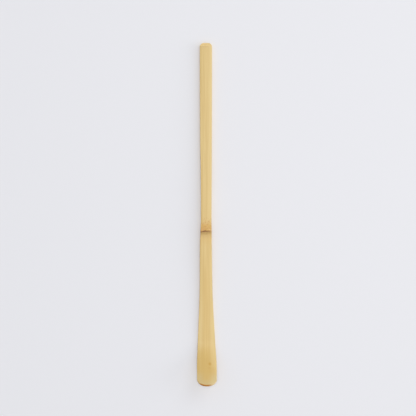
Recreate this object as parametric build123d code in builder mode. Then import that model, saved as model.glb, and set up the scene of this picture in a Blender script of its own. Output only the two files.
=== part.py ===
from build123d import *

import os
from bisect import bisect_right
from math import ceil, cos, pi, radians, sin, sqrt, tan

# A tea scoop carved from one split of bamboo, lying on its back.
# The strip runs along Y: the cut end of the handle at +Y, the upturned tip at -Y.
# Its front face, on top, is the outer skin of the culm. Its back, below, is planed flesh.
# Z is up from the surface that it lies on, and X is across, measured from the middle of the scoop.
# All sizes are millimetres and degrees. "Distance" means along the back, from the cut end.

# Lengths along the back
handle_length = 99.2  # cut end to sheath scar
blade_length = 56.8  # sheath scar to the start of the bend
bend_radius = 22.0  # of the back, which is the outside of the bend
bend_angle = 35.0  # slope of the tip above the resting surface
tip_length = 14.2  # straight stretch past the bend

# Places of the other sections along the strip
grip_distance = 54.0  # end of the handle's even stretch, from the cut end
neck_distance = 66.0  # where it has narrowed, from the cut end
waist_before_scar = 4.9  # narrowest place
blade_after_scar = 8.0  # where the blade is straight again
flare_before_bend = 24.0  # where the blade starts to widen
widest_before_tip = 11.0  # where the scoop reaches its full width

# Widths
cut_end_width = 6.44
grip_width = 6.18
neck_width = 5.91
waist_width = 5.6
node_width = 5.95
blade_width = 6.26
flare_width = 6.85
bend_width = 9.05
scoop_width = 10.38

# Sideways drift of the strip from the middle of its widest place, as it grew and was carved
handle_drift = -0.50
grip_drift = -0.45
neck_drift = -0.34
waist_drift = -0.33
blade_drift = -0.51
bend_drift = -0.22
tip_drift = 0.08

# Thicknesses at the middle of the width
cut_end_thickness = 2.7
grip_thickness = 2.8
node_thickness = 2.7
flare_thickness = 2.4
bend_thickness = 1.95
tip_thickness = 1.3
skin_thickness = 0.3
skin_gap = 0.02  # hairline between the skin and the flesh below it

# Section: crowned front, eased front edges, bevelled back edges
culm_radius = 32.0
front_ease = 0.2
handle_bevel = 0.6
node_bevel = 0.8
bend_bevel = 0.5
tip_bevel = 0.28

# Back: an arch under the node between two flats that the scoop rests on
arch_height = 0.7
handle_flat_length = 34.0
belly_flat_length = 8.0
flat_depth = 0.1  # planed off the back at the flats

# Node: ridge on the front, sheath scar at its foot, stub of the diaphragm on the back
ridge_height = 0.4
ridge_rise = 3.2  # handle side of the crest
ridge_fall = 3.4  # blade side of the crest
crest_before_scar = 0.9
scar_width = 0.6
scar_tilt = 4.0  # its end at -X lies nearer the tip
node_before_scar = 4.2  # start of the node's own tissue
node_after_scar = 2.6  # its end
diaphragm_before_scar = 1.6
diaphragm_width = 2.4
diaphragm_depth = 0.9
diaphragm_relief = 0.15

# Ends
end_corner_cut = 1.35
end_front_bevel_length = 1.5
end_front_bevel_depth = 0.55
end_back_bevel_length = 0.9
end_back_bevel_depth = 0.5
tip_end_radius = 6.8
tip_corner_radius = 4.2
tip_side_clearance = 0.03  # between the scoop's sides and the outline that rounds its end

# Spacing of the sections along the strip
long_step = 7.0
node_step = 1.0
bend_step = 2.5

scar_distance = handle_length
bend_distance = scar_distance + blade_length
bend_arc = bend_radius * radians(bend_angle)
tip_distance = bend_distance + bend_arc + tip_length
waist_distance = scar_distance - waist_before_scar
blade_distance = scar_distance + blade_after_scar
flare_distance = bend_distance - flare_before_bend
widest_distance = tip_distance - widest_before_tip
crest_distance = scar_distance - crest_before_scar
diaphragm_distance = scar_distance - diaphragm_before_scar
belly_distance = bend_distance - belly_flat_length

bend_reach = bend_radius * sin(radians(bend_angle))
tip_reach = tip_length * cos(radians(bend_angle))
overall_length = handle_length + blade_length + bend_reach + tip_reach
cut_end_y = overall_length / 2
scar_y = cut_end_y - scar_distance

width_marks = [
    (0.0, cut_end_width),
    (grip_distance, grip_width),
    (neck_distance, neck_width),
    (waist_distance, waist_width),
    (scar_distance, node_width),
    (blade_distance, blade_width),
    (flare_distance, flare_width),
    (bend_distance, bend_width),
    (widest_distance, scoop_width),
]
drift_marks = [
    (0.0, handle_drift),
    (grip_distance, grip_drift),
    (neck_distance, neck_drift),
    (waist_distance, waist_drift),
    (blade_distance, blade_drift),
    (bend_distance, bend_drift),
    (widest_distance, 0.0),
    (tip_distance, tip_drift),
]
thickness_marks = [
    (0.0, cut_end_thickness),
    (grip_distance, grip_thickness),
    (scar_distance, node_thickness),
    (flare_distance, flare_thickness),
    (bend_distance, bend_thickness),
    (tip_distance, tip_thickness),
]
bevel_marks = [
    (0.0, handle_bevel),
    (scar_distance, node_bevel),
    (bend_distance, bend_bevel),
    (tip_distance, tip_bevel),
]


def along(marks, distance):
    """Value at a distance, on a smooth curve through (distance, value) marks, level past its ends."""
    places = [place for place, _ in marks]
    values = [value for _, value in marks]

    def slope(i):
        if i in (0, len(marks) - 1):
            return 0.0
        return (values[i + 1] - values[i - 1]) / (places[i + 1] - places[i - 1])

    i = min(max(bisect_right(places, distance) - 1, 0), len(marks) - 2)
    span = places[i + 1] - places[i]
    t = min(max((distance - places[i]) / span, 0.0), 1.0)
    return (
        values[i] * (1 + 2 * t) * (1 - t) ** 2
        + slope(i) * span * t * (1 - t) ** 2
        + values[i + 1] * (3 - 2 * t) * t**2
        - slope(i + 1) * span * (1 - t) * t**2
    )


def swell(distance, start, crest, end):
    """Smooth rise from 0 at start to 1 at crest, and back to 0 at end."""
    if not start < distance < end:
        return 0.0
    share = (distance - start) / (crest - start) if distance < crest else (end - distance) / (end - crest)
    return (1 - cos(pi * share)) / 2


def back_plane(distance):
    """Plane across the strip, its X across and its Y towards the front, on the middle of the back."""
    x = along(drift_marks, distance)
    level = min(distance, bend_distance)
    turn = min(max(distance - bend_distance, 0.0), bend_arc) / bend_radius
    slope = max(distance - bend_distance - bend_arc, 0.0)
    arch = arch_height * swell(distance, handle_flat_length, scar_distance, belly_distance)
    stub = diaphragm_relief * swell(
        distance,
        diaphragm_distance - diaphragm_width,
        diaphragm_distance,
        diaphragm_distance + diaphragm_width,
    )
    y = cut_end_y - level - bend_radius * sin(turn) - slope * cos(turn)
    z = arch - stub - flat_depth + bend_radius * (1 - cos(turn)) + slope * sin(turn)
    return Plane(origin=(x, y, z), x_dir=(1, 0, 0), z_dir=(0, -cos(turn), sin(turn)))


def thickness(distance):
    """From the back to the front at the middle of the width, with the node's ridge."""
    ridge = ridge_height * swell(
        distance, crest_distance - ridge_rise, crest_distance, crest_distance + ridge_fall
    )
    return along(thickness_marks, distance) + ridge


def crown_drop(x):
    """How far the crowned front lies below its middle at x across."""
    return culm_radius - sqrt(culm_radius**2 - x**2)


def flesh_outline(distance):
    """Draws the flesh's section: flat back, bevels, upright sides, and a crown under the skin."""
    half = along(width_marks, distance) / 2
    bevel = along(bevel_marks, distance)
    crown = thickness(distance) - skin_thickness - skin_gap
    edge = crown - crown_drop(half)
    Polyline(
        (-half, edge),
        (-half, bevel),
        (bevel - half, 0),
        (half - bevel, 0),
        (half, bevel),
        (half, edge),
    )
    ThreePointArc((half, edge), (0, crown), (-half, edge))


def skin_outline(distance):
    """Draws the skin's section: an even layer over the flesh's crown, with its upper edges eased."""
    half = along(width_marks, distance) / 2
    eased = half - front_ease
    crown = thickness(distance)
    under = crown - skin_thickness
    edge = under - crown_drop(half)
    brow = crown - crown_drop(eased)
    ThreePointArc((-half, edge), (0, under), (half, edge))
    Polyline((half, edge), (half, brow - front_ease), (eased, brow))
    ThreePointArc((eased, brow), (0, crown), (-eased, brow))
    Polyline((-eased, brow), (-half, brow - front_ease), (-half, edge))


def steps(start, end, step):
    """Even distances from start up to, but not with, end, no further apart than step."""
    count = ceil((end - start) / step)
    return [start + (end - start) * i / count for i in range(count)]


def tissue(outline, distances):
    """A stretch of the strip, through its outlines at these distances."""
    with BuildPart() as stretch:
        for distance in distances:
            with BuildSketch(back_plane(distance)):
                with BuildLine():
                    outline(distance)
                make_face()
        loft()
    return stretch.part


# Where the stretches of tissue begin and end
scar_reach = scar_width + node_width * tan(radians(abs(scar_tilt)))
node_start = scar_distance - node_before_scar
node_end = scar_distance + node_after_scar
handle_sections = steps(0.0, node_start, long_step) + [node_start]
node_sections = steps(node_start, node_end, node_step) + [node_end]
ridge_sections = steps(node_start, scar_distance + scar_reach, node_step) + [scar_distance + scar_reach]
foot_sections = steps(scar_distance - scar_reach, node_end, node_step) + [node_end]
blade_sections = steps(node_end, bend_distance, long_step) + [bend_distance]
scoop_sections = steps(bend_distance, tip_distance, bend_step) + [tip_distance]

# The bevels of the cut end, as planes that face outwards
cut_end_front = back_plane(0.0).origin.Z + cut_end_thickness
cut_end_corner = cut_end_width / 2 - end_corner_cut
cut_end_planes = [
    Plane(
        origin=(0, cut_end_y, cut_end_front - end_front_bevel_depth),
        x_dir=(1, 0, 0),
        z_dir=(0, end_front_bevel_depth, end_front_bevel_length),
    ),
    Plane(
        origin=(0, cut_end_y, end_back_bevel_depth),
        x_dir=(1, 0, 0),
        z_dir=(0, end_back_bevel_depth, -end_back_bevel_length),
    ),
    Plane(origin=(handle_drift - cut_end_corner, cut_end_y, 0), x_dir=(0, 0, 1), z_dir=(-1, 1, 0)),
    Plane(origin=(handle_drift + cut_end_corner, cut_end_y, 0), x_dir=(0, 0, 1), z_dir=(1, 1, 0)),
]

# The sides of the sheath scar, as planes that face the tip
scar_normal = (sin(radians(scar_tilt)), -cos(radians(scar_tilt)), 0)
scar_start_plane = Plane(origin=(0, scar_y, 0), z_dir=scar_normal).offset(-scar_width / 2)
scar_end_plane = Plane(origin=(0, scar_y, 0), z_dir=scar_normal).offset(scar_width / 2)

# What comes off round the end of the tip: all that lies outside its rounded outline
tip_plane = back_plane(tip_distance)
tip_outline_plane = Plane(origin=tip_plane.origin, x_dir=(1, 0, 0), z_dir=tip_plane.y_dir)
tip_half = scoop_width / 2 + tip_side_clearance
corner_x = tip_half - tip_corner_radius
corner_y = tip_end_radius - sqrt((tip_end_radius - tip_corner_radius) ** 2 - corner_x**2)
arc_share = tip_end_radius / (tip_end_radius - tip_corner_radius)
arc_end_x = corner_x * arc_share
arc_end_y = tip_end_radius + (corner_y - tip_end_radius) * arc_share

with BuildPart() as tip_cut:
    with BuildSketch(tip_outline_plane):
        Rectangle(2 * scoop_width, 2 * corner_y)
        with BuildLine():
            end_arc = ThreePointArc((-arc_end_x, arc_end_y), (0, 0), (arc_end_x, arc_end_y))
            right = TangentArc(end_arc @ 1, (tip_half, corner_y), tangent=end_arc % 1)
            left = TangentArc(end_arc @ 0, (-tip_half, corner_y), tangent=-(end_arc % 0))
            Line(right @ 1, left @ 1)
        make_face(mode=Mode.SUBTRACT)
    extrude(amount=bend_thickness + tip_thickness, both=True)

# Handle
with BuildPart() as handle_flesh:
    add(tissue(flesh_outline, handle_sections))
    split(bisect_by=Plane.XY, keep=Keep.TOP)
    for plane in cut_end_planes:
        split(bisect_by=plane, keep=Keep.BOTTOM)
handle_flesh.part.label = "handle_flesh"

with BuildPart() as handle_skin:
    add(tissue(skin_outline, handle_sections))
    for plane in cut_end_planes:
        split(bisect_by=plane, keep=Keep.BOTTOM)
handle_skin.part.label = "handle_skin"

# Node: the stub of the diaphragm is set into the back of its flesh
with BuildPart() as diaphragm_cut:
    with BuildSketch(back_plane(diaphragm_distance)):
        Rectangle(2 * node_width, 2 * diaphragm_depth)
    extrude(amount=diaphragm_width / 2, both=True)

with BuildPart() as diaphragm_stub:
    add(tissue(flesh_outline, node_sections))
    add(diaphragm_cut.part, mode=Mode.INTERSECT)
diaphragm_stub.part.label = "diaphragm_stub"

with BuildPart() as node_flesh:
    add(tissue(flesh_outline, node_sections))
    add(diaphragm_cut.part, mode=Mode.SUBTRACT)
node_flesh.part.label = "node_flesh"

with BuildPart() as node_skin:
    add(tissue(skin_outline, ridge_sections))
    split(bisect_by=scar_start_plane, keep=Keep.BOTTOM)
node_skin.part.label = "node_skin"

with BuildPart() as sheath_scar:
    add(tissue(skin_outline, foot_sections))
    split(bisect_by=scar_start_plane, keep=Keep.TOP)
    split(bisect_by=scar_end_plane, keep=Keep.BOTTOM)
sheath_scar.part.label = "sheath_scar"

# Blade: its skin starts at the scar, on the foot of the node's ridge
with BuildPart() as blade_flesh:
    add(tissue(flesh_outline, blade_sections))
    split(bisect_by=Plane.XY, keep=Keep.TOP)
blade_flesh.part.label = "blade_flesh"

with BuildPart() as blade_skin:
    add(tissue(skin_outline, foot_sections))
    split(bisect_by=scar_end_plane, keep=Keep.TOP)
    add(tissue(skin_outline, blade_sections))
blade_skin.part.label = "blade_skin"

# Scoop: the bend and the upturned tip
with BuildPart() as scoop_flesh:
    add(tissue(flesh_outline, scoop_sections))
    split(bisect_by=Plane.XY, keep=Keep.TOP)
    add(tip_cut.part, mode=Mode.SUBTRACT)
scoop_flesh.part.label = "scoop_flesh"

with BuildPart() as scoop_skin:
    add(tissue(skin_outline, scoop_sections))
    add(tip_cut.part, mode=Mode.SUBTRACT)
scoop_skin.part.label = "scoop_skin"

os.makedirs("parts", exist_ok=True)
for piece in (
    handle_flesh,
    handle_skin,
    node_flesh,
    node_skin,
    sheath_scar,
    diaphragm_stub,
    blade_flesh,
    blade_skin,
    scoop_flesh,
    scoop_skin,
):
    export_step(piece.part, f"parts/{piece.part.label}.step")
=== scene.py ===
from math import pi, radians, sqrt, tan

import bmesh
import bpy
import numpy as np
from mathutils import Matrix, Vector


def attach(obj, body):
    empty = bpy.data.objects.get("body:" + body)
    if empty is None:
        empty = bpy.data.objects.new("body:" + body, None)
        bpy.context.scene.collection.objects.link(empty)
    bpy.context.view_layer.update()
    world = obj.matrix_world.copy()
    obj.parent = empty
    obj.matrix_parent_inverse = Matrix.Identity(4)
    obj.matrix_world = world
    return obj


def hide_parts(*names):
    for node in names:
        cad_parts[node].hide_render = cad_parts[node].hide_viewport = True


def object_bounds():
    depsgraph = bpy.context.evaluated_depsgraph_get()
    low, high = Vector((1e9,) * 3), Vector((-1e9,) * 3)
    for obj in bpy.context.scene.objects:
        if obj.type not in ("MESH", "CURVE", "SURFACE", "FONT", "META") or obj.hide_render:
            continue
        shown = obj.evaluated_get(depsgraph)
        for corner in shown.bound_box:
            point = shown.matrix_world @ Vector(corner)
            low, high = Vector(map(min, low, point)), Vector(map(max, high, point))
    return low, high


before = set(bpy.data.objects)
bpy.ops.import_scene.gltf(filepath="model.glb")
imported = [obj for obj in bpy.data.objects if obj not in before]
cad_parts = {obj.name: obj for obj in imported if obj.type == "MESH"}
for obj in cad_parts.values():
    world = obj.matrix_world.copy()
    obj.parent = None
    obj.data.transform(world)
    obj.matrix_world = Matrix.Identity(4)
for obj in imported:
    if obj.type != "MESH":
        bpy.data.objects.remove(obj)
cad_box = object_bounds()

# A bamboo tea scoop. Each tissue of the strip is a closed slab between two height fields over (s, x):
# s is the distance along the back from the cut end, x is across from the strip's middle, and heights
# are up from the back. They are millimetres, as in the solids, and MM turns them into the frame's metres.
MM = 0.001

# Lengths along the back
HANDLE_LENGTH = 99.2
BLADE_LENGTH = 56.8
BEND_RADIUS = 22.0
BEND_ANGLE = radians(35.0)
TIP_LENGTH = 14.2

# Places along the back
CUT_END_Y = cad_box[1].y / MM
GRIP = 54.0
NECK = 66.0
SCAR = HANDLE_LENGTH
WAIST = SCAR - 4.9
BLADE = SCAR + 8.0
BEND = SCAR + BLADE_LENGTH
FLARE = BEND - 24.0
BEND_ARC = BEND_RADIUS * BEND_ANGLE
TIP = BEND + BEND_ARC + TIP_LENGTH
WIDEST = TIP - 11.0

# Section at those places, as (place, size) marks
CUT_END_WIDTH = 6.44
SCOOP_WIDTH = 10.38
CUT_END_THICKNESS = 2.7
WIDTHS = [(0, CUT_END_WIDTH), (GRIP, 6.18), (NECK, 5.91), (WAIST, 5.6), (SCAR, 5.95), (BLADE, 6.26),
          (FLARE, 6.85), (BEND, 9.05), (WIDEST, SCOOP_WIDTH)]
DRIFTS = [(0, -0.50), (GRIP, -0.45), (NECK, -0.34), (WAIST, -0.33), (BLADE, -0.51), (BEND, -0.22),
          (WIDEST, 0.0), (TIP, 0.08)]
THICKNESSES = [(0, CUT_END_THICKNESS), (GRIP, 2.8), (SCAR, 2.7), (FLARE, 2.4), (BEND, 1.95), (TIP, 1.3)]
BEVELS = [(0, 0.6), (SCAR, 0.8), (BEND, 0.5), (TIP, 0.28)]
SKIN = 0.3
CULM_RADIUS = 32.0
FRONT_EASE = 0.2
CREASE_SOFTNESS = 0.06

# Back: an arch under the node between two flats
ARCH_HEIGHT = 0.7
HANDLE_FLAT_END = 34.0
BELLY_FLAT_START = BEND - 8.0
FLAT_DEPTH = 0.1

# Node
RIDGE_HEIGHT = 0.4
CREST = SCAR - 0.9
RIDGE_START = CREST - 3.2
RIDGE_END = CREST + 3.4
NODE_START = SCAR - 4.2
NODE_END = SCAR + 2.6
SCAR_WIDTH = 0.6
SCAR_NEAR = SCAR - SCAR_WIDTH / 2
SCAR_FAR = SCAR + SCAR_WIDTH / 2
SCAR_SLOPE = tan(radians(4.0))
SCAR_BOW = 0.028
SCAR_LIFT = 0.02
DIAPHRAGM = SCAR - 1.6
DIAPHRAGM_WIDTH = 2.4
DIAPHRAGM_DEPTH = 0.9
DIAPHRAGM_RELIEF = 0.15
DIAPHRAGM_PROUD = 0.03
STUB_START = DIAPHRAGM - DIAPHRAGM_WIDTH / 2
STUB_END = DIAPHRAGM + DIAPHRAGM_WIDTH / 2

# Natural unevenness, as (height, radians per millimetre, phase) waves across the strip
SCAR_WAVES = [(0.05, 1.9, 0.6), (0.04, 4.7, 0.0)]
SCAR_START_WAVES = [(0.12, 1.85, -0.45)]
SCAR_END_WAVES = [(0.06, 2.6, 4.0)]
STUB_START_WAVES = [(0.12, 2.2, 1.0), (0.06, 5.3, 0.0)]
STUB_END_WAVES = [(0.10, 1.7, 3.0), (0.06, 6.1, 0.0)]
# The scar's rough top, as (share of the lift, radians per millimetre across, and along)
SCAR_RIPPLES = [(0.5, 7.0, 9.0), (0.5, -5.3, 11.0)]

# Ends
END_CORNER = 1.35
END_CORNER_EASE = 0.5
END_FRONT_LENGTH = 1.5
END_FRONT_DEPTH = 0.55
END_BACK_LENGTH = 0.9
END_BACK_DEPTH = 0.5
TIP_RADIUS = 6.8
TIP_CORNER = 4.2
TIP_SIDE_CLEARANCE = 0.03
TIP_HALF = SCOOP_WIDTH / 2 + TIP_SIDE_CLEARANCE
CORNER_X = TIP_HALF - TIP_CORNER
CORNER_T = TIP_RADIUS - sqrt((TIP_RADIUS - TIP_CORNER) ** 2 - CORNER_X**2)


def along(marks, s):
    """Values at s on a smooth curve through (place, value) marks, level at and past its ends."""
    places = np.array([p for p, _ in marks], float)
    values = np.array([v for _, v in marks], float)
    slopes = np.zeros(len(marks))
    slopes[1:-1] = (values[2:] - values[:-2]) / (places[2:] - places[:-2])
    i = np.clip(np.searchsorted(places, s, side="right") - 1, 0, len(marks) - 2)
    span = places[i + 1] - places[i]
    t = np.clip((s - places[i]) / span, 0, 1)
    return (
        values[i] * (1 + 2 * t) * (1 - t) ** 2
        + slopes[i] * span * t * (1 - t) ** 2
        + values[i + 1] * (3 - 2 * t) * t**2
        - slopes[i + 1] * span * (1 - t) * t**2
    )


def swell(s, start, crest, end):
    """Smooth rise from 0 at start to 1 at crest, and back to 0 at end."""
    share = np.where(s < crest, (s - start) / (crest - start), (end - s) / (end - crest))
    return (1 - np.cos(pi * np.clip(share, 0, 1))) / 2


def waves(terms, x):
    """The sum of (height, radians per millimetre, phase) waves at x."""
    return sum(height * np.sin(rate * x + phase) for height, rate, phase in terms)


def soft_min(a, b):
    """The lesser of two fields, with a rounded crease between them."""
    share = np.clip(0.5 + 0.5 * (b - a) / CREASE_SOFTNESS, 0, 1)
    return b + (a - b) * share - CREASE_SOFTNESS * share * (1 - share)


def soft_max(a, b):
    return -soft_min(-a, -b)


def half_width(s):
    return along(WIDTHS, s) / 2


def place(x, s, h):
    """Points in the frame, in metres, of strip coordinates in millimetres."""
    level = np.minimum(s, BEND)
    turn = np.clip(s - BEND, 0, BEND_ARC) / BEND_RADIUS
    slope = np.maximum(s - BEND - BEND_ARC, 0)
    arch = ARCH_HEIGHT * swell(s, HANDLE_FLAT_END, SCAR, BELLY_FLAT_START) - FLAT_DEPTH
    y = CUT_END_Y - level - (BEND_RADIUS - h) * np.sin(turn) - slope * np.cos(turn)
    z = arch + BEND_RADIUS - (BEND_RADIUS - h) * np.cos(turn) + slope * np.sin(turn)
    return np.stack([x + along(DRIFTS, s), y, np.maximum(z, 0)], axis=-1) * MM


def crown_drop(x):
    """How far the culm's round surface falls away at x across."""
    return CULM_RADIUS - np.sqrt(CULM_RADIUS**2 - x**2)


def crown(s, x):
    """Height of the culm's outer surface."""
    return along(THICKNESSES, s) + RIDGE_HEIGHT * swell(s, RIDGE_START, CREST, RIDGE_END) - crown_drop(x)


def tip_inset(x):
    """How far the rounded end of the tip lies behind its foremost point at x across."""
    x = np.minimum(np.abs(x), TIP_HALF)
    corner_start = CORNER_X * TIP_RADIUS / (TIP_RADIUS - TIP_CORNER)
    on_corner = CORNER_T - np.sqrt(np.maximum(TIP_CORNER**2 - np.maximum(x - CORNER_X, 0) ** 2, 0))
    on_end = TIP_RADIUS - np.sqrt(np.maximum(TIP_RADIUS**2 - x**2, 0))
    return np.where(x > corner_start, on_corner, on_end)


def edge_distance(s, x):
    """Distance in from the strip's sides and the tip's rounded end, seen square to the face."""
    x = np.abs(x)
    t = TIP - s
    in_corner = CORNER_X * (TIP_RADIUS - t) < x * (TIP_RADIUS - CORNER_T)
    to_corner = TIP_CORNER - np.hypot(x - CORNER_X, t - CORNER_T)
    to_end = TIP_RADIUS - np.hypot(x, t - TIP_RADIUS)
    to_tip = np.where(t < CORNER_T, np.where(in_corner, to_corner, to_end), TIP_CORNER)
    return np.maximum(np.minimum(half_width(s) - x, to_tip), 0)


def front_bevel(s):
    """Height of the cut end's front bevel."""
    return CUT_END_THICKNESS - END_FRONT_DEPTH * (1 - s / END_FRONT_LENGTH)


def back_bevel(s):
    """Height of the cut end's back bevel."""
    return FLAT_DEPTH + END_BACK_DEPTH * (1 - s / END_BACK_LENGTH)


def front(s, x):
    """The skin's outer surface, with its edges eased and the cut end's bevel."""
    inside = np.maximum(FRONT_EASE - edge_distance(s, x), 0)
    eased = FRONT_EASE - np.sqrt(np.maximum(FRONT_EASE**2 - inside**2, 0))
    return soft_min(crown(s, x) - eased, front_bevel(s))


def under_skin(s, x):
    """Where the skin meets the flesh."""
    return np.minimum(crown(s, x) - SKIN, front_bevel(s))


def back(s, x):
    """The planed back, with its edges bevelled, the cut end's bevel and the diaphragm's relief."""
    side_bevel = along(BEVELS, s) - edge_distance(s, x)
    relief = swell(s, DIAPHRAGM - DIAPHRAGM_WIDTH, DIAPHRAGM, DIAPHRAGM + DIAPHRAGM_WIDTH)
    return soft_max(soft_max(side_bevel, 0 * x), back_bevel(s)) - DIAPHRAGM_RELIEF * relief


def node_back(s, x):
    """The back, with the pocket that the diaphragm's stub fills."""
    in_pocket = (s > stub_start(x)) & (s < stub_end(x))
    return np.where(in_pocket, stub_front(s, x), back(s, x))


def scar_front(s, x):
    """The scar's rough top, a little proud of the skin."""
    ripple = sum(share * np.sin(across * x + lengthwise * s) for share, across, lengthwise in SCAR_RIPPLES)
    return front(s, x) + SCAR_LIFT * (1 + ripple)


def stub_back(s, x):
    """The stub's free side, a little proud of the back."""
    return back(s, x) - DIAPHRAGM_PROUD


def stub_front(s, x):
    """The stub's inner side, down in the flesh."""
    return back(s, x) + DIAPHRAGM_DEPTH


# Lines across the strip: the place of each along it, at x across


def cut_end(x):
    """The cut end, with its two corners cut off and a little rounded."""
    x = np.abs(x) - (CUT_END_WIDTH / 2 - END_CORNER)
    eased = np.clip(0.5 + 0.5 * x / END_CORNER_EASE, 0, 1)
    shoulder = np.maximum(x - END_CORNER + END_CORNER_EASE, 0) ** 2
    return x * eased + END_CORNER_EASE * eased * (1 - eased) + shoulder


def skin_start(x):
    """Where the front bevel of the cut end comes out through the skin."""
    below_crown = 1 - (SKIN + crown_drop(x)) / END_FRONT_DEPTH
    return np.maximum(END_FRONT_LENGTH * below_crown, cut_end(x))


def scar_line(x):
    return SCAR - SCAR_SLOPE * x + SCAR_BOW * x**2 + waves(SCAR_WAVES, x)


def scar_start(x):
    return scar_line(x) - SCAR_WIDTH / 2 + waves(SCAR_START_WAVES, x)


def scar_end(x):
    return scar_line(x) + SCAR_WIDTH / 2 + waves(SCAR_END_WAVES, x)


def stub_start(x):
    return STUB_START + waves(STUB_START_WAVES, x)


def stub_end(x):
    return STUB_END + waves(STUB_END_WAVES, x)


def tip_end(x):
    return TIP - tip_inset(x)


# Meshes: columns across the strip and rows along it, close together at the edges that are eased
EDGE_STEPS = (0, 0.012, 0.04, 0.08, 0.13, 0.19, 0.26, 0.38, 0.55, 0.75)
INNER_COLUMNS = 10
END_ROWS = 2.0
END_STEP = 0.05
LONG_STEP = 0.8
BEND_STEP = 0.5
NODE_STEP = 0.15
STUB_STEP = 0.1
SCAR_STEP = 0.06
POCKET_STEP = 0.006
# Rows closer than LEAST_STEP are left out, points closer than WELD joined, edges under LEAST_EDGE dropped
LEAST_STEP = 0.008
WELD = 0.002
LEAST_EDGE = 0.0005
SHARP_ANGLE = radians(38)
SHAPING_ROUNDS = 3


def column_terms():
    """Two arrays, a and b, so that a * half_width + b places each column."""
    rim = EDGE_STEPS[-1]
    shares = [k / INNER_COLUMNS for k in range(INNER_COLUMNS - 1, 0, -1)]
    right = [(1, -e) for e in EDGE_STEPS] + [(share, -rim * share) for share in shares]
    left = [(-a, -b) for a, b in reversed(right)]
    return np.array((right + [(0, 0)] + left)[::-1], float).T


def rows_between(start, end, step, close_start=False, close_end=False):
    """Places along the strip: even, and close together at an end that shows."""
    even = np.linspace(start, end, max(2, round((end - start) / step) + 1))
    near_start = [start + e for e in EDGE_STEPS] if close_start else []
    near_end = [end - e for e in EDGE_STEPS] if close_end else []
    places = np.unique(np.concatenate([even, near_start, near_end]))
    return places[np.concatenate([[True], np.diff(places) > LEAST_STEP])]


def shaped(nominal, x, pulls):
    """Places of the grid's points, drawn onto the line of each (place, line, reach) pull."""
    s = nominal
    for at, line, reach in pulls:
        s = s + (line(x) - at) * np.clip(1 - np.abs(nominal - at) / reach, 0, 1)
    return s


def grid_faces(index):
    """Faces between the neighbouring points of a grid."""
    corners = [index[:-1, :-1], index[1:, :-1], index[1:, 1:], index[:-1, 1:]]
    return np.stack(corners, axis=-1).reshape(-1, 4)


def wall_faces(index, count):
    """Faces round the edge of a grid, down to the same grid count points later."""
    rim = np.concatenate([index[0, :-1], index[:-1, -1], index[-1, :0:-1], index[:0:-1, 0]])
    following = np.roll(rim, -1)
    return np.stack([rim, following, following + count, rim + count], axis=-1)


def finish_mesh(mesh):
    """Joins doubled points, drops flat faces, turns faces outwards and shades smooth up to sharp edges."""
    work = bmesh.new()
    work.from_mesh(mesh)
    bmesh.ops.remove_doubles(work, verts=work.verts, dist=WELD * MM)
    bmesh.ops.dissolve_degenerate(work, edges=work.edges, dist=LEAST_EDGE * MM)
    bmesh.ops.recalc_face_normals(work, faces=work.faces)
    work.to_mesh(mesh)
    work.free()
    mesh.shade_smooth()
    mesh.set_sharp_from_angle(angle=SHARP_ANGLE)


def slab(name, lower, upper, places, *pulls):
    """A closed mesh between two height fields, with rows at places and (place, line, reach) pulls."""
    a, b = column_terms()
    nominal = places[:, None] + 0 * a
    s = nominal
    for _ in range(SHAPING_ROUNDS):
        x = a * half_width(s) + b
        s = shaped(nominal, x, pulls)
    x = a * half_width(s) + b
    high = upper(s, x)
    low = np.minimum(lower(s, x), high)
    count = s.size
    index = np.arange(count).reshape(s.shape)
    faces = np.concatenate([grid_faces(index), grid_faces(index + count)[:, ::-1], wall_faces(index, count)])
    points = np.concatenate([place(x, s, h).reshape(-1, 3) for h in (high, low)])
    strip = np.concatenate([np.stack([x, s, crown(s, x) - h], axis=-1).reshape(-1, 3) for h in (high, low)])
    rim = np.tile(edge_distance(s, x).ravel(), 2)

    mesh = bpy.data.meshes.new(name)
    mesh.from_pydata(points.tolist(), [], faces.tolist())
    mesh.attributes.new("strip", "FLOAT_VECTOR", "POINT").data.foreach_set("vector", strip.ravel())
    mesh.attributes.new("rim", "FLOAT", "POINT").data.foreach_set("value", rim)
    finish_mesh(mesh)
    piece = bpy.data.objects.new(name, mesh)
    bpy.context.scene.collection.objects.link(piece)
    return piece


# Materials


def linear(r, g, b):
    """An sRGB colour from 0 to 255 as linear, with alpha."""
    parts = [v / 255 for v in (r, g, b)]
    return tuple(v / 12.92 if v <= 0.04045 else ((v + 0.055) / 1.055) ** 2.4 for v in parts) + (1.0,)


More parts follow.
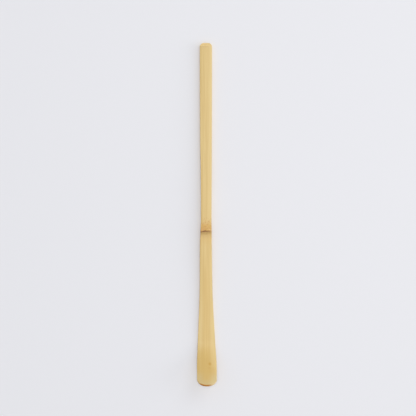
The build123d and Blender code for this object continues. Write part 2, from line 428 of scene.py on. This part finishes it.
class Graph:
    """A material's node tree, built by short calls."""

    # Sockets of a Mix node that carry colours
    FIRST_COLOUR = 6
    SECOND_COLOUR = 7
    MIXED_COLOUR = 2

    def __init__(self, name):
        self.material = bpy.data.materials.new(name)
        self.material.use_nodes = True
        self.tree = self.material.node_tree
        self.shader = self.tree.nodes["Principled BSDF"]

    def read_strip(self):
        """Strip coordinates of the mesh. side is -1 to 1 from left to right, on_skin 0 in the flesh."""
        position = self.attribute("strip").outputs["Vector"]
        self.x, self.s, self.depth = self.node("ShaderNodeSeparateXYZ", Vector=position).outputs
        self.rim = self.attribute("rim").outputs["Fac"]
        self.side = self.math("DIVIDE", self.x, self.math("ADD", self.math("ABSOLUTE", self.x), self.rim))
        self.on_skin = self.fade(self.depth, SKIN_DEPTH)

    def attribute(self, name):
        made = self.tree.nodes.new("ShaderNodeAttribute")
        made.attribute_name = name
        return made

    def node(self, kind, **inputs):
        made = self.tree.nodes.new(kind)
        for key, value in inputs.items():
            self.put(made.inputs[key], value)
        return made

    def put(self, socket, value):
        if isinstance(value, bpy.types.NodeSocket):
            self.tree.links.new(value, socket)
        else:
            socket.default_value = value

    def math(self, operation, *values):
        made = self.tree.nodes.new("ShaderNodeMath")
        made.operation = operation
        for socket, value in zip(made.inputs, values):
            self.put(socket, value)
        return made.outputs[0]

    def product(self, first, *others):
        for other in others:
            first = self.math("MULTIPLY", first, other)
        return first

    def fade(self, value, limits):
        """0 at the first limit, 1 at the second, smooth between."""
        made = self.tree.nodes.new("ShaderNodeMapRange")
        made.interpolation_type = "SMOOTHSTEP"
        self.put(made.inputs["Value"], value)
        made.inputs["From Min"].default_value, made.inputs["From Max"].default_value = limits
        return made.outputs["Result"]

    def level(self, share, ends):
        """The first of two ends where share is 0, the second where it is 1."""
        low, high = ends
        return self.math("MULTIPLY_ADD", share, high - low, low)

    def mix(self, share, a, b):
        made = self.tree.nodes.new("ShaderNodeMix")
        made.data_type = "RGBA"
        self.put(made.inputs["Factor"], share)
        self.put(made.inputs[self.FIRST_COLOUR], a)
        self.put(made.inputs[self.SECOND_COLOUR], b)
        return made.outputs[self.MIXED_COLOUR]

    def tint(self, colour, over, *fades, share=1.0):
        """colour, with a share of over where every fade is 1."""
        return self.mix(self.product(*fades, share), colour, over)

    def stretched(self, across, lengthwise):
        """Strip coordinates for a texture with so many features per millimetre each way."""
        return self.node(
            "ShaderNodeCombineXYZ",
            X=self.math("MULTIPLY", self.x, across),
            Y=self.math("MULTIPLY", self.s, lengthwise),
            Z=self.math("MULTIPLY", self.depth, across),
        ).outputs[0]

    def noise(self, across, lengthwise, detail):
        position = self.stretched(across, lengthwise)
        return self.node("ShaderNodeTexNoise", Vector=position, Scale=1.0, Detail=detail).outputs["Fac"]

    def bump(self, height, strength, distance):
        made = self.node("ShaderNodeBump", Height=height, Strength=strength, Distance=distance * MM)
        self.put(self.shader.inputs["Normal"], made.outputs["Normal"])


# Limits of the fades in the bamboo: where each is none, and where it is full
SKIN_DEPTH = (0.34, 0.04)
FIBRE_RANGE = (0.3, 0.7)
THREAD_RANGE = (0.52, 0.75)
STREAK_RANGE = (0.48, 0.66)
RAY_RANGE = (0.5, 0.34)
BUNDLE_SIZE = (0.34, 0.16)
MIDDLE = (0.95, 0.35)
LEFT = (-0.2, -0.8)
RIGHT = (0.1, 0.95)
EDGE = (0.4, 0.05)


def fibre_noise(g):
    return g.noise(across=2.6, lengthwise=0.035, detail=3.0)


def fibre_bundles(g):
    """1 in the fibre bundles: dots on a cut across the strip, fine lines on one along it."""
    cells = g.node("ShaderNodeTexVoronoi", Vector=g.stretched(across=3.4, lengthwise=0.012), Scale=1.0)
    return g.fade(cells.outputs["Distance"], BUNDLE_SIZE)


SKIN_DEEP = linear(211, 178, 108)
SKIN_PALE = linear(220, 193, 127)
SKIN_STREAK = linear(202, 166, 96)
SKIN_RAY = linear(234, 209, 150)
SKIN_THREAD = linear(205, 171, 104)
# A painted sheen: the skin made paler where the light catches it
PAINTED_SKIN_SHEEN = linear(226, 200, 139)
BLADE_TINT = linear(215, 180, 105)
SCOOP_TINT = linear(213, 179, 106)
TIP_RIM_PALE = linear(210, 190, 140)
NEAR_NODE = (GRIP, SCAR - 8)
BEFORE_FLARE = (FLARE, BLADE)
BLADE_RISE = (BLADE, FLARE)
BLADE_START = (SCAR - 15, SCAR)
BLADE_END = (BEND - 8, FLARE)
SCOOP_RISE = (BEND + 3, BEND + 16)
FLARE_RISE = (FLARE - 6, BEND - 6)
FLARE_FALL = (BEND + 9, BEND + 2)
RIM_PALE_RISE = (TIP - 9.5, TIP - 4.5)
RIM_PALE_REACH = (5.5, 0.4)
# Shares of two tints: the scoop's amber at its sides and its middle, weaker at the sides as a painted sheen,
# and the painted sheen off and on the blade
SCOOP_SHARES = (0.3, 0.72)
PAINTED_SHEEN_SHARES = (0.64, 0.24)


def skin_colour(g, fibres, threads):
    """The culm's outer skin: lengthwise fibres and streaks, amber towards the tip, and a painted sheen that
    makes it paler at the right.
    """
    streaks = g.noise(across=0.9, lengthwise=0.02, detail=2.0)
    middle = g.fade(g.math("ABSOLUTE", g.side), MIDDLE)
    colour = g.mix(g.fade(fibres, FIBRE_RANGE), SKIN_DEEP, SKIN_PALE)
    colour = g.tint(colour, SKIN_THREAD, g.fade(threads, THREAD_RANGE), share=0.35)
    colour = g.tint(colour, BLADE_TINT, g.fade(g.s, NEAR_NODE), g.fade(g.s, BEFORE_FLARE), share=0.3)
    colour = g.tint(colour, BLADE_TINT, g.fade(g.s, BLADE_RISE), middle, share=0.6)
    colour = g.tint(colour, SKIN_STREAK, g.fade(streaks, STREAK_RANGE), share=0.22)
    colour = g.tint(colour, SKIN_RAY, g.fade(streaks, RAY_RANGE), share=0.22)
    # The scoop's own amber, kept weaker at its sides as a painted sheen there
    colour = g.tint(colour, SCOOP_TINT, g.fade(g.s, SCOOP_RISE), g.level(middle, SCOOP_SHARES))
    blade = g.product(g.fade(g.s, BLADE_START), g.fade(g.s, BLADE_END))
    # Painted sheen on the right side, which faces the light, weaker on the blade
    colour = g.tint(colour, PAINTED_SKIN_SHEEN, g.fade(g.side, RIGHT), g.level(blade, PAINTED_SHEEN_SHARES))
    flare = g.product(g.fade(g.s, FLARE_RISE), g.fade(g.s, FLARE_FALL))
    # Painted sheen along the left edge of the flare
    colour = g.tint(colour, PAINTED_SKIN_SHEEN, flare, g.fade(g.side, LEFT), share=0.6)
    # Paler along the tip's rim
    return g.tint(colour, TIP_RIM_PALE, g.fade(g.s, RIM_PALE_RISE), g.fade(g.rim, RIM_PALE_REACH), share=0.6)


FLESH_DEEP = linear(204, 169, 106)
FLESH_PALE = linear(226, 199, 141)
BUNDLE = linear(176, 132, 74)


def flesh_colour(g, fibres, bundles):
    """The flesh below: paler and coarser, with darker fibre bundles."""
    colour = g.mix(g.fade(fibres, FIBRE_RANGE), FLESH_DEEP, FLESH_PALE)
    return g.tint(colour, BUNDLE, bundles, share=0.55)


NODE_OCHRE = linear(210, 168, 87)
# Pale streaks over the node's ochre: partly their own colour, partly a painted sheen towards the lit right
# side
NODE_STREAKS_AND_SHEEN = linear(230, 190, 122)
NODE_BLUSH = linear(204, 148, 76)
NODE_FLECK = linear(196, 142, 72)
NODE_DARKENING = linear(166, 129, 70)
NODE_WANDER = 2.4
NOISE_MIDDLE = 0.5
NODE_STREAK_RANGE = (0.44, 0.6)
NODE_STREAK_SIDE = (-0.6, 0.5)
FLECK_RANGE = (0.52, 0.64)
# Distances past the scar, and how sharply the marks end there in the flesh and on the skin
SCAR_BEFORE = (0.5, 0.1)
SCAR_AFTER = (-0.2, 0.2)
SCAR_SHARPNESS = (0.2, 1.0)
# Places along the strip
FLECK_RISE = (SCAR - 8, SCAR - 5)
OCHRE_RISE = (SCAR - 6.6, SCAR - 2.8)
BLUSH_RISE = (SCAR - 3.4, SCAR - 0.4)
OCHRE_FALL = (SCAR + 9, SCAR + 2)
DARKENING_FALL = (SCAR + 4.6, SCAR + 0.2)
DARKENING_CORE = (SCAR + 2.0, SCAR + 0.2)
# Across the strip
BLUSH_SIDE = (1.0, -1.0)


def node_marks(g, colour):
    """Ochre, flecks and a blush before the sheath scar, and a darker band that fades out after it."""
    mottle = g.noise(across=0.9, lengthwise=0.5, detail=2.0)
    wander = g.math("ADD", g.s, g.product(g.math("SUBTRACT", mottle, NOISE_MIDDLE), NODE_WANDER))
    streaks = g.fade(g.noise(across=1.3, lengthwise=0.1, detail=1.0), NODE_STREAK_RANGE)
    flecks = g.fade(g.noise(across=1.5, lengthwise=1.1, detail=2.0), FLECK_RANGE)
    from_scar = g.product(g.math("SUBTRACT", g.s, SCAR), g.level(g.on_skin, SCAR_SHARPNESS))
    before = g.fade(from_scar, SCAR_BEFORE)
    after = g.fade(from_scar, SCAR_AFTER)
    ochre = g.product(g.fade(wander, OCHRE_RISE), before)
    colour = g.tint(colour, NODE_OCHRE, ochre, share=0.85)
    # Pale streaks over the ochre, stronger at the right as a painted sheen
    colour = g.tint(colour, NODE_STREAKS_AND_SHEEN, ochre, streaks, g.fade(g.side, NODE_STREAK_SIDE), share=0.45)
    colour = g.tint(colour, NODE_FLECK, flecks, g.fade(wander, FLECK_RISE), before, g.on_skin, share=0.7)
    blush = g.product(g.fade(wander, BLUSH_RISE), before, g.fade(g.x, BLUSH_SIDE))
    colour = g.tint(colour, NODE_BLUSH, blush, share=0.6)
    colour = g.tint(colour, NODE_OCHRE, g.fade(wander, OCHRE_FALL), after, share=0.35)
    # Darker after the scar, fading out along the blade
    colour = g.tint(colour, NODE_DARKENING, g.fade(wander, DARKENING_FALL), after, share=0.4)
    return g.tint(colour, NODE_DARKENING, g.fade(wander, DARKENING_CORE), after, share=0.55)


# Painted shade at the left edge, and a painted highlight at the right edge, which faces the light
EDGE_PAINTED_SHADE = linear(208, 166, 98)
EDGE_PAINTED_HIGHLIGHT = linear(238, 216, 168)
LEFT_EDGE = (0.5, -0.5)
RIGHT_EDGE = (0.4, 0.9)


def painted_edge_light(g, colour):
    """The skin's edges: browner at the left as painted shade, and paler at the right as a painted highlight
    where the light falls.
    """
    edge = g.product(g.fade(g.rim, EDGE), g.on_skin)
    colour = g.tint(colour, EDGE_PAINTED_SHADE, edge, g.fade(g.side, LEFT_EDGE), share=0.3)
    return g.tint(colour, EDGE_PAINTED_HIGHLIGHT, edge, g.fade(g.side, RIGHT_EDGE), share=0.5)


END_GRAIN = linear(234, 204, 139)
END_CREASE = linear(198, 164, 106)
# The tip's amber end grain: partly its own colour, partly painted shade where the end faces away from the
# light
SHADED_AMBER_DEEP = linear(172, 106, 15)
SHADED_AMBER_PALE = linear(190, 125, 26)
SHADED_AMBER_DOT = linear(150, 90, 16)
END_FALL = (1.9, 1.4)
CREASE_RISE = (1.6, 1.9)
CREASE_FALL = (2.4, 2.0)
CREASE_SIDE = (1.8, 0.4)
CREASE_GRAIN = (0.3, 0.6)
AMBER_RISE = (TIP - 3.2, TIP - 2.2)
AMBER_RIM = (0.55, 0.3)
SHADED_AMBER_LEFT = (-4.6, -2.6)
SHADED_AMBER_RIGHT = (3.2, 0.4)


def end_marks(g, colour, fibres, threads, bundles):
    """The pale cut end and the crease behind its bevel, and the amber edge of the tip, darkened and kept off
    the right corner as painted shade.
    """
    end_grain = g.tint(END_GRAIN, BUNDLE, bundles, share=0.35)
    colour = g.tint(colour, end_grain, g.fade(g.s, END_FALL), share=0.85)
    crease = g.product(g.fade(g.s, CREASE_RISE), g.fade(g.s, CREASE_FALL), g.fade(g.x, CREASE_SIDE))
    colour = g.tint(colour, END_CREASE, crease, g.fade(threads, CREASE_GRAIN), share=0.6)
    amber = g.tint(g.mix(g.fade(fibres, FIBRE_RANGE), SHADED_AMBER_DEEP, SHADED_AMBER_PALE), SHADED_AMBER_DOT, bundles, share=0.5)
    on_tip = g.product(g.fade(g.s, AMBER_RISE), g.fade(g.rim, AMBER_RIM))
    # Kept to the left and middle, the shaded side; the right corner faces the light
    return g.tint(colour, amber, on_tip, g.fade(g.x, SHADED_AMBER_LEFT), g.fade(g.x, SHADED_AMBER_RIGHT))


SPECK_AND_SHADE = linear(198, 150, 54)
# Place of each mark along and across the strip, its reach each way and its share
SPECKS_AND_SHADE = [
    # A darker patch just before the scar
    (SCAR - 1.0, -0.1, 1.0, 1.9, 0.7),
    (TIP - 12.79, 1.6, 1.5, 1.2, 0.65),
    # A faint darker spot beside the speck
    (TIP - 10.54, 1.3, 1.0, 1.0, 0.22),
    # Painted shade: a broad darker patch across the right of the scoop
    (TIP - 8.44, 3.2, 5.0, 3.4, 0.2),
]
MARK_FALL = (1.0, 0.1)


def specks_and_shade(g, colour):
    """A darker patch at the scar, and a small brown speck, a faint darker spot and a broad painted shade in
    the scoop.
    """
    for s, x, length, width, share in SPECKS_AND_SHADE:
        across = g.math("DIVIDE", g.math("SUBTRACT", g.x, x), width)
        lengthwise = g.math("DIVIDE", g.math("SUBTRACT", g.s, s), length)
        away = g.math("SQRT", g.math("ADD", g.product(across, across), g.product(lengthwise, lengthwise)))
        colour = g.tint(colour, SPECK_AND_SHADE, g.fade(away, MARK_FALL), g.on_skin, share=share)
    return colour


# Roughness of flesh and skin, and what the threads add to it and to the relief
ROUGHNESS = (0.62, 0.42)
THREAD_ROUGHNESS = 0.1
THREAD_RELIEF = 0.6


def bamboo(name):
    """Bamboo by depth: satin skin outside and fibrous flesh below it."""
    g = Graph(name)
    g.read_strip()
    fibres = fibre_noise(g)
    threads = g.noise(across=8.0, lengthwise=0.10, detail=2.0)
    bundles = fibre_bundles(g)
    colour = g.mix(g.on_skin, flesh_colour(g, fibres, bundles), skin_colour(g, fibres, threads))
    colour = painted_edge_light(g, node_marks(g, colour))
    colour = specks_and_shade(g, end_marks(g, colour, fibres, threads, bundles))
    g.put(g.shader.inputs["Base Color"], colour)
    roughness = g.level(g.on_skin, ROUGHNESS)
    g.put(g.shader.inputs["Roughness"], g.math("ADD", roughness, g.product(threads, THREAD_ROUGHNESS)))
    g.bump(g.math("ADD", fibres, g.product(threads, THREAD_RELIEF)), strength=0.5, distance=0.02)
    return g.material


SCAR_DARK = linear(118, 75, 38)
SCAR_LIGHT = linear(158, 111, 64)
SCAR_FAINT = linear(184, 142, 86)
SCAR_PAINTED_HIGHLIGHT = linear(218, 182, 128)
SCAR_GRAIN = (0.35, 0.65)
FAINT_SIDE = (0.0, 2.2)
HIGHLIGHT_SIDE = (2.0, 2.7)
SCAR_ROUGHNESS = 0.75


def sheath_scar():
    """The dark, rough line where the sheath grew, fainter at the right and with a painted highlight at its
    edge.
    """
    g = Graph("sheath_scar")
    g.read_strip()
    grain = g.noise(across=3.0, lengthwise=3.0, detail=3.0)
    colour = g.mix(g.fade(grain, SCAR_GRAIN), SCAR_DARK, SCAR_LIGHT)
    colour = g.tint(colour, SCAR_FAINT, g.fade(g.x, FAINT_SIDE), share=0.7)
    # Painted highlight at the right edge, which faces the light
    colour = g.tint(colour, SCAR_PAINTED_HIGHLIGHT, g.fade(g.x, HIGHLIGHT_SIDE), share=0.8)
    g.put(g.shader.inputs["Base Color"], colour)
    g.shader.inputs["Roughness"].default_value = SCAR_ROUGHNESS
    g.bump(grain, strength=0.8, distance=0.03)
    return g.material


DIAPHRAGM_DEEP = linear(168, 126, 72)
DIAPHRAGM_PALE = linear(206, 170, 112)
PITH_GRAIN = (0.35, 0.7)
PITH_DEPTH = (1.5, 2.4)
PITH_ROUGHNESS = 0.85


def diaphragm():
    """Pithy tissue, cut across its grain, that runs out into the flesh above it."""
    g = Graph("diaphragm")
    g.read_strip()
    grain = g.noise(across=1.6, lengthwise=2.4, detail=4.0)
    pith = g.mix(g.fade(grain, PITH_GRAIN), DIAPHRAGM_DEEP, DIAPHRAGM_PALE)
    flesh = node_marks(g, flesh_colour(g, fibre_noise(g), fibre_bundles(g)))
    g.put(g.shader.inputs["Base Color"], g.mix(g.fade(g.depth, PITH_DEPTH), flesh, pith))
    g.shader.inputs["Roughness"].default_value = PITH_ROUGHNESS
    g.bump(grain, strength=0.7, distance=0.05)
    return g.material


# Pieces: one for each node of the solids

skin_look = bamboo("bamboo_skin")
flesh_look = bamboo("bamboo_flesh")
ridge_look = bamboo("node_ridge")
scar_look = sheath_scar()
diaphragm_look = diaphragm()

handle_rows = np.concatenate([
    rows_between(0, END_ROWS, END_STEP, close_start=True)[:-1],
    rows_between(END_ROWS, NODE_START, LONG_STEP),
])
ridge_rows = rows_between(NODE_START, SCAR, NODE_STEP)
node_rows = np.concatenate([
    rows_between(NODE_START, STUB_START - POCKET_STEP, NODE_STEP),
    rows_between(STUB_START + POCKET_STEP, STUB_END - POCKET_STEP, STUB_STEP),
    rows_between(STUB_END + POCKET_STEP, NODE_END, NODE_STEP),
])
scar_rows = rows_between(SCAR_NEAR, SCAR_FAR, SCAR_STEP)
stub_rows = rows_between(STUB_START, STUB_END, STUB_STEP)
blade_rows = rows_between(NODE_END, BEND, LONG_STEP)
foot_rows = np.concatenate([rows_between(SCAR, NODE_END, NODE_STEP)[:-1], blade_rows])
scoop_rows = rows_between(BEND, TIP, BEND_STEP, close_end=True)

# How far along the strip the rows are drawn onto each line
END_REACH = 4.0
RIDGE_REACH = 3.0
SCAR_REACH = SCAR_WIDTH
STUB_REACH = DIAPHRAGM_WIDTH / 2
TIP_REACH = 9.0

to_skin_start = (0, skin_start, END_REACH)
to_cut_end = (0, cut_end, END_REACH)
to_scar_start = (SCAR_NEAR, scar_start, SCAR_REACH)
to_scar_end = (SCAR_FAR, scar_end, SCAR_REACH)
ridge_to_scar = (SCAR, scar_start, RIDGE_REACH)
blade_to_scar = (SCAR, scar_end, RIDGE_REACH)
to_stub = [(STUB_START, stub_start, STUB_REACH), (STUB_END, stub_end, STUB_REACH)]
to_tip_end = (TIP, tip_end, TIP_REACH)

PIECES = [
    ("handle_skin", "bamboo_skin", skin_look,
     slab("handle_front", under_skin, front, handle_rows, to_skin_start)),
    ("handle_flesh", "bamboo_flesh", flesh_look,
     slab("handle_body", back, under_skin, handle_rows, to_cut_end)),
    ("node_skin", "node_ridge", ridge_look,
     slab("node_ridge", under_skin, front, ridge_rows, ridge_to_scar)),
    ("node_flesh", "bamboo_flesh", flesh_look,
     slab("node_body", node_back, under_skin, node_rows, *to_stub)),
    ("sheath_scar", "sheath_scar", scar_look,
     slab("sheath_line", under_skin, scar_front, scar_rows, to_scar_start, to_scar_end)),
    ("diaphragm_stub", "diaphragm", diaphragm_look,
     slab("diaphragm_band", stub_back, stub_front, stub_rows, *to_stub)),
    ("blade_skin", "bamboo_skin", skin_look,
     slab("blade_front", under_skin, front, foot_rows, blade_to_scar)),
    ("blade_flesh", "bamboo_flesh", flesh_look,
     slab("blade_body", back, under_skin, blade_rows)),
    ("scoop_skin", "bamboo_skin", skin_look,
     slab("scoop_front", under_skin, front, scoop_rows, to_tip_end)),
    ("scoop_flesh", "bamboo_flesh", flesh_look,
     slab("scoop_body", back, under_skin, scoop_rows, to_tip_end)),
]
for node, slot, look, piece in PIECES:
    piece.data.materials.append(look)
    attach(piece, "root")
    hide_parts(node)

# Stage: floor, light and camera, in metres and watts

FLOOR = linear(236, 236, 238)
SEEN = linear(236, 236, 239)
FILL = linear(248, 249, 255)
FLOOR_SIZE = 6.0
FLOOR_FADE = (0.165, 0.45)
FLOOR_ROUGHNESS = 0.9
FLOOR_SPECULAR = 0.1
FILL_STRENGTH = 0.487
# Name, place, size and power of each lamp
LAMPS = [
    ("overhead", (0.0, 0.0, 1.3), 0.35, 5.81),
    ("side", (1.256, 0.0, 0.336), 1.0, 5.1),
    ("corner", (0.65, 0.65, 0.919), 1.0, 2.58),
]
CAMERA_HEIGHT = 0.9
CAMERA_X = 0.000595
CAMERA_Y = 0.0031
FRAME_WIDTH = 0.2199
SENSOR = 36.0

scene = bpy.context.scene
scene.view_settings.view_transform = "Standard"


def seen_rays(tree):
    """1 on rays that show a surface, straight or in gloss or glass, and 0 on rays that light one."""
    path = tree.nodes.new("ShaderNodeLightPath")
    share = path.outputs["Is Camera Ray"]
    for ray in ("Is Glossy Ray", "Is Transmission Ray"):
        either = tree.nodes.new("ShaderNodeMath")
        either.operation = "MAXIMUM"
        tree.links.new(share, either.inputs[0])
        tree.links.new(path.outputs[ray], either.inputs[1])
        share = either.outputs[0]
    return share


def mix_shaders(tree, share, plain, seen, output):
    """Sends seen to the output where share is 1, and plain elsewhere."""
    mixed = tree.nodes.new("ShaderNodeMixShader")
    tree.links.new(share, mixed.inputs[0])
    tree.links.new(plain, mixed.inputs[1])
    tree.links.new(seen, mixed.inputs[2])
    tree.links.new(mixed.outputs[0], output)


def floor_material():
    """A matte pale floor that turns into the plain background far from the object."""
    g = Graph("floor")
    g.shader.inputs["Base Color"].default_value = FLOOR
    g.shader.inputs["Roughness"].default_value = FLOOR_ROUGHNESS
    g.shader.inputs["Specular IOR Level"].default_value = FLOOR_SPECULAR
    away = g.tree.nodes.new("ShaderNodeVectorMath")
    away.operation = "LENGTH"
    g.put(away.inputs[0], g.tree.nodes.new("ShaderNodeNewGeometry").outputs["Position"])
    share = g.product(seen_rays(g.tree), g.fade(away.outputs["Value"], FLOOR_FADE))
    seen = g.node("ShaderNodeEmission", Color=SEEN)
    output = g.tree.nodes["Material Output"].inputs["Surface"]
    mix_shaders(g.tree, share, g.shader.outputs[0], seen.outputs[0], output)
    return g.material


def make_world():
    """A soft fill from all round, which shows as the plain background."""
    world = bpy.data.worlds.new("studio")
    world.use_nodes = True
    tree = world.node_tree
    fill = tree.nodes["Background"]
    fill.inputs["Color"].default_value = FILL
    fill.inputs["Strength"].default_value = FILL_STRENGTH
    seen = tree.nodes.new("ShaderNodeBackground")
    seen.inputs["Color"].default_value = SEEN
    output = tree.nodes["World Output"].inputs["Surface"]
    mix_shaders(tree, seen_rays(tree), fill.outputs[0], seen.outputs[0], output)
    return world


bpy.ops.mesh.primitive_plane_add(size=FLOOR_SIZE, location=(0, 0, 0))
floor = bpy.context.object
floor.name = "floor"
floor.data.materials.append(floor_material())
scene.world = make_world()

for name, location, size, power in LAMPS:
    lamp = bpy.data.lights.new(name, "AREA")
    lamp.shape = "DISK"
    lamp.size = size
    lamp.energy = power
    holder = bpy.data.objects.new(name, lamp)
    holder.location = location
    holder.rotation_euler = (-Vector(location)).to_track_quat("-Z", "Y").to_euler()
    holder.visible_camera = False
    scene.collection.objects.link(holder)

lens = bpy.data.cameras.new("camera")
lens.sensor_width = SENSOR
lens.lens = SENSOR * CAMERA_HEIGHT / FRAME_WIDTH
camera = bpy.data.objects.new("camera", lens)
camera.location = (CAMERA_X, CAMERA_Y, CAMERA_HEIGHT)
scene.collection.objects.link(camera)
scene.camera = camera
